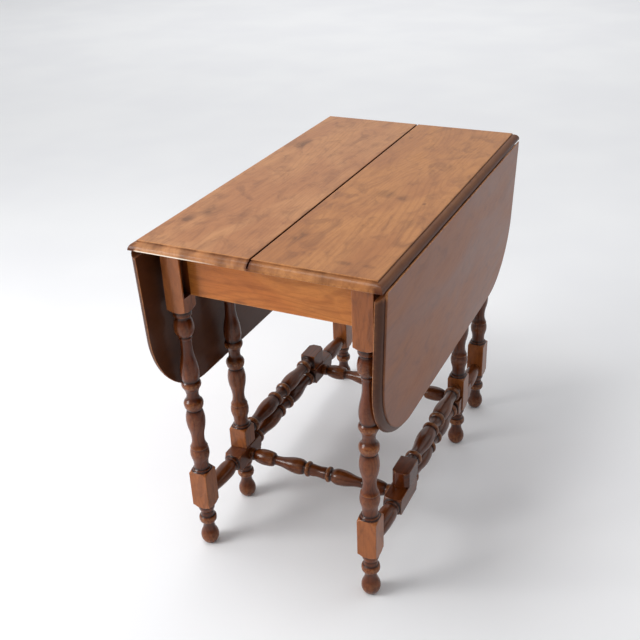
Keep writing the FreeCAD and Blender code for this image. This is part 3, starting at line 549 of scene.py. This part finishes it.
def make_side_stretcher(side_name):
    """A side stretcher between two corner legs, with its half of the lap for the gate leg."""
    side = SIDES[side_name]
    node = f"side_stretcher_{side_name}"
    centre, half = centre_of(node), half_of(node)
    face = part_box("corner_leg_back_left")[0].y
    look = wood(f"{node}_wood", "Y", 11 + side, shade_tone=PAINTED_SHADE_TONES["side_stretcher"], **FRAME_FINISH)
    ray = Vector((-side, 0, -1))
    beam = turned_piece(node, look, Y, centre, ray, (-face - MM, face + MM), (half.z, half.z))
    leg_low, leg_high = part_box(f"gate_leg_{side_name}")
    gate_x = (leg_low.x + leg_high.x) / 2
    cut = gate_x - side * LAP_PLAY
    out = centre.x + side * BEYOND_BAR
    carve(beam, [(
        (min(cut, out), leg_low.y - LAP_PLAY, 0),
        (max(cut, out), leg_high.y + LAP_PLAY, ABOVE_ALL),
    )])
    stand_in(beam, node)


def make_cross_stretcher(end_name):
    """A cross stretcher, turned from end to end, so its block's size lies beyond it."""
    end = ENDS[end_name]
    node = f"cross_stretcher_{end_name}"
    centre = centre_of(node)
    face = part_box("side_stretcher_right")[0].x + MM
    look = wood(f"{node}_wood", "X", 17 + end, shade_tone=PAINTED_SHADE_TONES["cross_stretcher"], **FRAME_FINISH)
    ray = Vector((0, 1, -1))
    bar = turned_piece(node, look, X, centre, ray, (-face, face), (BEYOND_BAR, BEYOND_BAR))
    stand_in(bar, node)


def make_gate_lower_rail(side_name):
    """A gate's lower rail, from its leg to the clipped block on its pivot."""
    side = SIDES[side_name]
    node = f"gate_lower_rail_{side_name}"
    low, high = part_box(node)
    centre, half = (low + high) / 2, (high - low) / 2
    leg_low, leg_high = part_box(f"gate_leg_{side_name}")
    leg_face = (leg_low.y if side > 0 else leg_high.y) + side * MM
    pivot_end = low.y if side > 0 else high.y
    origin = Vector((centre.x, 0, centre.z))
    look = wood(f"{node}_wood", "Y", 23 + side, shade_tone=PAINTED_SHADE_TONES["gate_rail"], **FRAME_FINISH)
    rail = turned_piece(
        node, look, Y, origin, Vector((side, 0, -1)),
        (min(leg_face, pivot_end), max(leg_face, pivot_end)), (half.x, half.z),
        clip=pivot_end,
    )
    stand_in(rail, node)


for end_name in ENDS:
    for side_name in SIDES:
        make_corner_leg(end_name, side_name)
    make_cross_stretcher(end_name)
for side_name in SIDES:
    make_side_stretcher(side_name)
    make_gate_leg(side_name)
    make_gate_lower_rail(side_name)


# ---- boards: each is a stack of level outlines, with its mouldings and rounded arrises in them

THUMB_RADIUS = 14 * MM
THUMB_STEP = 3.5 * MM
BOARD_TOP = THUMB_RADIUS + THUMB_STEP
LOWER_RIM, UPPER_RIM = 1.2 * MM, THUMB_RADIUS + 1.0 * MM
COVE_RADIUS = 14.7 * MM
SHOULDER_GAP = 1.2 * MM
BELOW_PIN = 0.5 * MM
LEAF_WIDTH = 360 * MM
LEAF_CORNER = 170 * MM
SEAM = 2 * MM
SEAM_LIP = 3.5 * MM
LIP_PLAY = 0.02 * MM
DENT = 0.22 * MM
SEAM_STRIP, JOINT_STRIP = 1.2 * MM, 1.6 * MM
# The painted highlight along the left board's front lip: where it starts and how far it fades, out from the seam,
# and how high it reaches.
GLINT_START, GLINT_FADE, GLINT_TOP = 60 * MM, 80 * MM, 2 * MM
HINGE_ROWS = (-300 * MM, 0, 300 * MM)
HINGE_HALF = 18.3 * MM
PLATE_RECESS = 1.3 * MM
TOP_PLATE_REACH, LEAF_PLATE_REACH = 30.2 * MM, 44.2 * MM
# How dark the undersides are painted; on the leaves this is painted shade, where they face in under the table.
TOP_UNDERSIDE_DARKENING, LEAF_UNDERSIDE_SHADE = 0.5, 0.8
KNUCKLE_HALF = 3.3 * MM
BELOW_BOARD = -2 * MM

HINGE = next(j for j in frame["joints"] if j["name"] == "leaf_right_hinge")
PIN = Vector(HINGE["pos_m"])
LEAN = HINGE["range_deg"][1] - 90
BOARD_HALF_LENGTH = half_of("top_board_right").y


def thumb_levels():
    """(height above the hinge axis, inset, wear, darkening) up a moulded edge, from the underside; the darkening
    is held in the step's inner corner.
    """
    levels = [
        (-BELOW_PIN, 2.0 * MM, 0, 0),
        (-BELOW_PIN, LOWER_RIM, 0.2, 0),
        (-BELOW_PIN + 0.2 * MM, 0.5 * MM, 0.6, 0),
        (0.3 * MM, 0, 1.0, 0),
    ]
    for turn in range(6, 90, 6):
        angle = math.radians(turn)
        wear = 0.5 if turn < 20 else 0.1
        levels.append(
            (THUMB_RADIUS * math.sin(angle), THUMB_RADIUS * (1 - math.cos(angle)), wear, 0)
        )
    return levels + [
        (THUMB_RADIUS - 0.05 * MM, THUMB_RADIUS - 1.0 * MM, 0, 0.5),
        (THUMB_RADIUS, THUMB_RADIUS - 0.3 * MM, 0, 1),
        (THUMB_RADIUS + 0.3 * MM, THUMB_RADIUS, 0, 1),
        (THUMB_RADIUS + 0.6 * MM, THUMB_RADIUS, 0, 0.6),
        (BOARD_TOP - 0.9 * MM, THUMB_RADIUS, 0.4, 0),
        (BOARD_TOP - 0.3 * MM, THUMB_RADIUS + 0.3 * MM, 1, 0),
        (BOARD_TOP, UPPER_RIM, 0.6, 0),
        (BOARD_TOP, THUMB_RADIUS + 3.0 * MM, 0, 0),
    ]


def run(start, end, count):
    """Points from start towards end, without the last."""
    return [
        (start[0] + (end[0] - start[0]) * i / count, start[1] + (end[1] - start[1]) * i / count)
        for i in range(count)
    ]


def bend(centre, radius, low, high, count):
    """Points round an arc, without the last, between two angles in degrees."""
    angles = [math.radians(low + (high - low) * i / count) for i in range(count)]
    return [(centre[0] + radius * math.cos(a), centre[1] + radius * math.sin(a)) for a in angles]


def cap_margin(height, inset):
    """How far the first and last outlines, which lie flat on the board's faces, draw in past their rims."""
    return max(0.0, inset - (LOWER_RIM if height < 0 else UPPER_RIM))


def as_given(x, y, height, wear, dirt_and_shade):
    return wear, dirt_and_shade, 0.0


def slab(name, levels, plan, material, marks=as_given):
    """A solid stacked from plan(height, inset) outlines, which all have as many points.

    marks(x, y, height, wear, darkening) gives the wear, the darkening and the painted highlight of one point; the
    darkening is soiling in some places and painted shade in others.
    """
    points, worn, grime, scuffed = [], [], [], []
    for height, inset, level_wear, level_dirt_and_shade in levels:
        for x, y in plan(height, inset):
            wear, dirt_and_shade, scuff = marks(x, y, height, level_wear, level_dirt_and_shade)
            dent = DENT * max(0.0, noise.noise(Vector((x, y, height)) * 160)) * wear
            points.append(Vector((x, y, height - dent)))
            worn.append(wear)
            grime.append(dirt_and_shade)
            scuffed.append(scuff)
    faces = stacked_faces(len(points) // len(levels), len(levels))
    return new_piece(name, points, faces, material, worn=worn, grime=grime, scuffed=scuffed)


def board_plan(height, inset):
    """The +X half of the fixed top: moulded on three sides, with a soft arris along the seam.

    Below SEAM_LIP a lip closes the seam, as a tongue does.
    """
    soft = 1.0 * MM * max(0.0, 1 - (BOARD_TOP - height) / MM) ** 2
    seam = SEAM + soft if height > SEAM_LIP else LIP_PLAY
    inner, outer = seam + cap_margin(height, inset), PIN.x + THUMB_RADIUS - inset
    end = BOARD_HALF_LENGTH - inset
    return (
        run((inner, -end), (outer, -end), 40) + run((outer, -end), (outer, end), 120)
        + run((outer, end), (inner, end), 40) + run((inner, end), (inner, -end), 120)
    )


def leaf_plan(height, inset):
    """A leaf laid flat, with the hinge axis as its Y: moulded on three sides, coved along the joint."""
    if height >= COVE_RADIUS:
        joint = SHOULDER_GAP
    else:
        joint = max(SHOULDER_GAP, math.sqrt(COVE_RADIUS**2 - max(height, 0.0) ** 2))
    joint += cap_margin(height, inset)
    end, wide, corner = BOARD_HALF_LENGTH, LEAF_WIDTH, LEAF_CORNER
    straight = wide - corner
    return (
        run((joint, inset - end), (straight, inset - end), 30)
        + bend((straight, corner - end), corner - inset, -90, 0, 48)
        + run((wide - inset, corner - end), (wide - inset, end - corner), 60)
        + bend((straight, end - corner), corner - inset, 0, 90, 48)
        + run((straight, end - inset), (joint, end - inset), 30)
        + run((joint, end - inset), (joint, inset - end), 120)
    )


def half_turn(side):
    """The left pieces are the right ones turned half round."""
    return Matrix.Rotation(0 if side > 0 else math.pi, 4, "Z")


def board_marks(side):
    """Soiling along the seam and in patches on the mouldings; painted shade on the moulding along the leaf joint,
    darker towards its foot; a painted highlight along the left board's front lip.
    """
    def marks(x, y, height, wear, dirt_and_shade):
        if x < SEAM + SEAM_STRIP:
            return (0.0, 0.95, 0.0) if height < BOARD_TOP - 0.5 * MM else (0.0, 0.0, 0.0)
        # Painted shade: the moulding along the leaf joint is darkened, most towards its foot.
        if x > PIN.x - JOINT_STRIP:
            deep = min(1.0, max(0.0, 1.15 - height / THUMB_RADIUS))
            joint_shade = 0.6 + 0.4 * deep if height < THUMB_RADIUS else 0.0
            return 0.1 * wear, max(dirt_and_shade, joint_shade), 0.0
        # Painted highlight: the lowest lip of the left board's front end is painted near white, fading out towards
        # the seam.
        scuff = 0.0
        if side < 0 and y > 0 and -0.3 * MM < height < GLINT_TOP:
            scuff = min(1.0, max(0.0, (x - GLINT_START) / GLINT_FADE))
        handled = 0.0
        if 0 < height < BOARD_TOP - 0.4 * MM:
            patch = noise.noise(Vector((x * 38, y * 38, 2.5 * side)))
            handled = min(0.6, max(0.0, 0.12 + 1.1 * patch))
        return wear, 0.12 * dirt_and_shade + handled, scuff
    return marks


def leaf_marks(x, y, height, wear, dirt_and_shade):
    """The moulding band and the underside, which faces in under the table, are darkened as painted shade; the
    moulding's lip and the joint's tip are rubbed pale.
    """
    if wear == 0 and height > THUMB_RADIUS + 2 * MM:
        return 0.0, 0.0, 0.0
    if x < COVE_RADIUS + 0.1 * MM:
        return (1.0, 0.0, 0.0) if height > COVE_RADIUS - MM else (0.3, 0.4, 0.0)
    # Painted shade on the underside, which faces in under the table.
    if height < -0.4 * MM:
        return 0.0, LEAF_UNDERSIDE_SHADE, 0.0
    if height > THUMB_RADIUS:
        return 0.1 * wear, max(0.25, 0.8 * dirt_and_shade), 0.0
    # Painted shade on the moulding band.
    return wear, max(dirt_and_shade, 0.85 if MM < height else 0.0), 0.0


def even_underside(piece, dirt_and_shade):
    """One even darkening of a board's underside and of the recesses cut into it; on the leaves it is painted
    shade.
    """
    for vertex, value in zip(piece.data.vertices, piece.data.attributes["grime"].data):
        flat = vertex.co.z < -BELOW_PIN + 0.05 * MM
        if flat or abs(vertex.co.z - PLATE_RECESS) < 0.001 * MM:
            value.value = dirt_and_shade


def make_top_board(side_name, knots):
    side = SIDES[side_name]
    node = f"top_board_{side_name}"
    look = wood(f"{node}_wood", "Y", 31 + side, knots=knots, **TOP_FINISH, **TOPS[side_name])
    board = slab(f"{node}_moulded", thumb_levels(), board_plan, look, board_marks(side))
    plates, knuckles = [], []
    for row in HINGE_ROWS:
        near, far = row - HINGE_HALF, row + HINGE_HALF
        plates.append((
            (PIN.x - TOP_PLATE_REACH, near, BELOW_BOARD),
            (PIN.x + THUMB_RADIUS + MM, far, PLATE_RECESS),
        ))
        knuckles.append((
            (PIN.x - KNUCKLE_HALF, near, BELOW_BOARD),
            (PIN.x + KNUCKLE_HALF, far, KNUCKLE_HALF),
        ))
    carve(board, plates)
    carve(board, knuckles)
    even_underside(board, TOP_UNDERSIDE_DARKENING)
    board.data.transform(half_turn(side) @ Matrix.Translation((0, 0, PIN.z)))
    stand_in(board, node)


def make_leaf(side_name):
    side = SIDES[side_name]
    node = f"leaf_{side_name}"
    look = wood(f"{node}_wood", "Y", 41 + side, **LEAF_FINISH)
    cove_top = [(COVE_RADIUS - 0.2 * MM, THUMB_RADIUS, 0, 0.3), (COVE_RADIUS, THUMB_RADIUS, 0.2, 0)]
    levels = sorted(thumb_levels() + cove_top, key=lambda level: level[0])
    panel = slab(f"{node}_moulded", levels, leaf_plan, look, leaf_marks)
    carve(panel, [
        ((0, row - HINGE_HALF, BELOW_BOARD), (LEAF_PLATE_REACH, row + HINGE_HALF, PLATE_RECESS))
        for row in HINGE_ROWS
    ])
    even_underside(panel, LEAF_UNDERSIDE_SHADE)
    hang = Matrix.Translation(PIN) @ Matrix.Rotation(math.radians(90 + LEAN), 4, "Y")
    panel.data.transform(half_turn(side) @ hang)
    stand_in(panel, node)


APRON_TONGUE = 11 * MM
APRON_STEPS = 60


def make_apron(node, look):
    """An apron without the tongues inside its legs, its lower arrises worn."""
    low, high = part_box(node)
    along_x = high.x - low.x > high.y - low.y
    if along_x:
        low.x, high.x = low.x + APRON_TONGUE, high.x - APRON_TONGUE
    else:
        low.y, high.y = low.y + APRON_TONGUE, high.y - APRON_TONGUE

    def plan(height, inset):
        if along_x:
            return (
                run((low.x, low.y + inset), (high.x, low.y + inset), APRON_STEPS)
                + run((high.x, low.y + inset), (high.x, high.y - inset), 2)
                + run((high.x, high.y - inset), (low.x, high.y - inset), APRON_STEPS)
                + run((low.x, high.y - inset), (low.x, low.y + inset), 2)
            )
        return (
            run((low.x + inset, low.y), (high.x - inset, low.y), 2)
            + run((high.x - inset, low.y), (high.x - inset, high.y), APRON_STEPS)
            + run((high.x - inset, high.y), (low.x + inset, high.y), 2)
            + run((low.x + inset, high.y), (low.x + inset, low.y), APRON_STEPS)
        )

    levels = [
        (low.z, 1.1 * MM, 0.7, 0), (low.z + 0.35 * MM, 0.35 * MM, 1, 0), (low.z + 1.1 * MM, 0, 0.7, 0),
        (low.z + 3 * MM, 0, 0, 0), (high.z - 12 * MM, 0, 0, 0), (high.z, 0, 0, 0.7),
    ]
    piece = slab(f"{node}_planed", levels, plan, look)
    stand_in(piece, node)


TOP_Z = PIN.z + BOARD_TOP
make_top_board("left", [
    ((-0.191, -0.228, TOP_Z), (0.012, 0.017, 0.02)),
    ((-0.180, -0.250, TOP_Z), (0.03, 0.05, 0.02)),
    ((-0.208, -0.314, TOP_Z), (0.02, 0.035, 0.02)),
    ((-0.200, 0.194, TOP_Z), (0.025, 0.05, 0.02)),
])
make_top_board("right", [
    ((0.105, -0.052, TOP_Z), (0.032, 0.03, 0.02)),
    ((0.150, -0.062, TOP_Z), (0.022, 0.024, 0.02)),
    ((0.197, -0.079, TOP_Z), (0.006, 0.008, 0.02)),
    ((0.160, -0.385, TOP_Z), (0.022, 0.012, 0.02)),
    ((0.208, -0.383, TOP_Z), (0.016, 0.01, 0.02)),
    ((0.035, -0.300, TOP_Z), (0.02, 0.05, 0.02)),
])
for index, side_name in enumerate(SIDES):
    make_leaf(side_name)
    node = f"side_apron_{side_name}"
    make_apron(node, wood(f"{node}_wood", "Y", 51 + index, gloss=0.45, coat=0.05, **APRON))
for index, end_name in enumerate(ENDS):
    node = f"end_apron_{end_name}"
    face = ENDS[end_name] * END_APRON_FACE
    knots = [((-0.066, face, END_APRON_BASE + 4 * MM), (0.022, 0.02, 0.005))]
    make_apron(node, wood(
        f"{node}_wood", "X", 61 + index, gloss=0.34, coat=0.2, figure=0.6, stain=0.16, knots=knots, **APRON
    ))


# ---- CAD nodes that keep their shape and take a better material

def dress(node, material):
    mesh = frame["nodes"][node].data
    mesh.materials.clear()
    mesh.materials.append(material)


IRON = iron("hinge_iron_look")
RAIL_LOOK = wood("gate_upper_rail_look", "Y", 71, **FRAME_FINISH)
BLOCK_LOOK = wood("corner_block_look", "Z", 73, gloss=0.5, coat=0.0, **APRON)
PEG_LOOK = wood("peg_look", "X", 79, gloss=0.4, coat=0.1, **TURNED)
for node in frame["nodes"]:
    if node.startswith("hinge_") or node == "block_screws":
        dress(node, IRON)
    elif node.startswith("gate_upper_rail"):
        dress(node, RAIL_LOOK)
    elif node == "corner_blocks":
        dress(node, BLOCK_LOOK)
    elif node in ("stretcher_pegs", "gate_pivot_pins_lower", "gate_pivot_pins_upper"):
        dress(node, PEG_LOOK)


# ---- floor, light and camera

FLOOR_HALF = 12.0


def make_floor():
    material = bpy.data.materials.new("floor_paper")
    material.use_nodes = True
    nodes = Nodes(material)
    shader = nodes.add("BsdfPrincipled")
    cloud = nodes.noise(nodes.place(), 1.5, 2)
    nodes.feed(
        shader.inputs["Base Color"],
        nodes.mix(nodes.ramp(cloud, 0.3, 0.7), colour(236, 236, 238), colour(240, 240, 241)),
    )
    shader.inputs["Roughness"].default_value = 0.9
    shader.inputs["Specular IOR Level"].default_value = 0.2
    nodes.feed(nodes.add("OutputMaterial").inputs["Surface"], shader.outputs[0])
    half = FLOOR_HALF
    corners = [(-half, -half, 0), (half, -half, 0), (half, half, 0), (-half, half, 0)]
    floor = new_piece("floor", corners, [(0, 1, 2, 3)], material)


def make_light(name, place, target, size, power, spread=180):
    light = bpy.data.lights.new(name, "AREA")
    light.shape = "RECTANGLE"
    light.size, light.size_y = size
    light.energy = power
    light.spread = math.radians(spread)
    lamp = bpy.data.objects.new(name, light)
    lamp.location = place
    lamp.rotation_euler = (Vector(target) - Vector(place)).to_track_quat("-Z", "Y").to_euler()
    bpy.context.scene.collection.objects.link(lamp)


BRIGHT_SIDE = (-0.72, 0.1, 0.69)
DIMMEST, BRIGHTEST = 0.15, 0.84


def make_world():
    """A white studio, brightest high on the left and dimmest low on the right.

    The Standard view transform keeps the browns saturated and the floor near white.
    """
    world = bpy.data.worlds.new("studio")
    world.use_nodes = True
    tree = world.node_tree
    toward = tree.nodes.new("ShaderNodeVectorMath")
    toward.operation = "DOT_PRODUCT"
    tree.links.new(tree.nodes.new("ShaderNodeTexCoord").outputs["Generated"], toward.inputs[0])
    toward.inputs[1].default_value = BRIGHT_SIDE
    spread = tree.nodes.new("ShaderNodeMapRange")
    tree.links.new(toward.outputs["Value"], spread.inputs["Value"])
    settings = (("From Min", -0.7), ("From Max", 1.0), ("To Min", DIMMEST), ("To Max", BRIGHTEST))
    for key, number in settings:
        spread.inputs[key].default_value = number
    background = tree.nodes["Background"]
    background.inputs["Color"].default_value = (0.97, 0.985, 1.0, 1)
    tree.links.new(spread.outputs[0], background.inputs["Strength"])
    bpy.context.scene.world = world
    bpy.context.scene.view_settings.view_transform = "Standard"


CAMERA_PLACE = Vector((0.7388, -1.6431, 1.4097))
CAMERA_YAW, CAMERA_PITCH, CAMERA_ROLL = 26.5464, -28.6612, -2.4781
CAMERA_LENS = 50.1
SENSOR = 36.0


def make_camera():
    yaw, pitch, roll = (math.radians(a) for a in (CAMERA_YAW, CAMERA_PITCH, CAMERA_ROLL))
    ahead = Vector((
        -math.sin(yaw) * math.cos(pitch), math.cos(yaw) * math.cos(pitch), math.sin(pitch)
    ))
    level = Vector((math.cos(yaw), math.sin(yaw), 0))
    over = level.cross(ahead)
    right = math.cos(roll) * level + math.sin(roll) * over
    up = -math.sin(roll) * level + math.cos(roll) * over
    data = bpy.data.cameras.new("camera")
    data.lens, data.sensor_width = CAMERA_LENS, SENSOR
    camera = bpy.data.objects.new("camera", data)
    turn = Matrix((right, up, -ahead)).transposed().to_4x4()
    camera.matrix_world = Matrix.Translation(CAMERA_PLACE) @ turn
    bpy.context.scene.collection.objects.link(camera)
    bpy.context.scene.camera = camera


make_floor()
make_world()
# Each light's place, target, size, power in watts and spread in degrees.
make_light("window", (-2.15, -2.1, 1.65), (0, 0, 0.3), (1.3, 1.3), 62)
make_light("overhead", (-0.7, -0.5, 3.1), (0, 0, 0), (1.1, 1.1), 24)
make_light("backdrop", (-2.5, 6.0, 4.5), (-2.5, 5.5, 0), (7.0, 5.0), 62, 120)
make_light("bounce", (2.3, 1.6, 1.7), (0.2, 0.1, 0.2), (1.8, 1.8), 8)
make_camera()
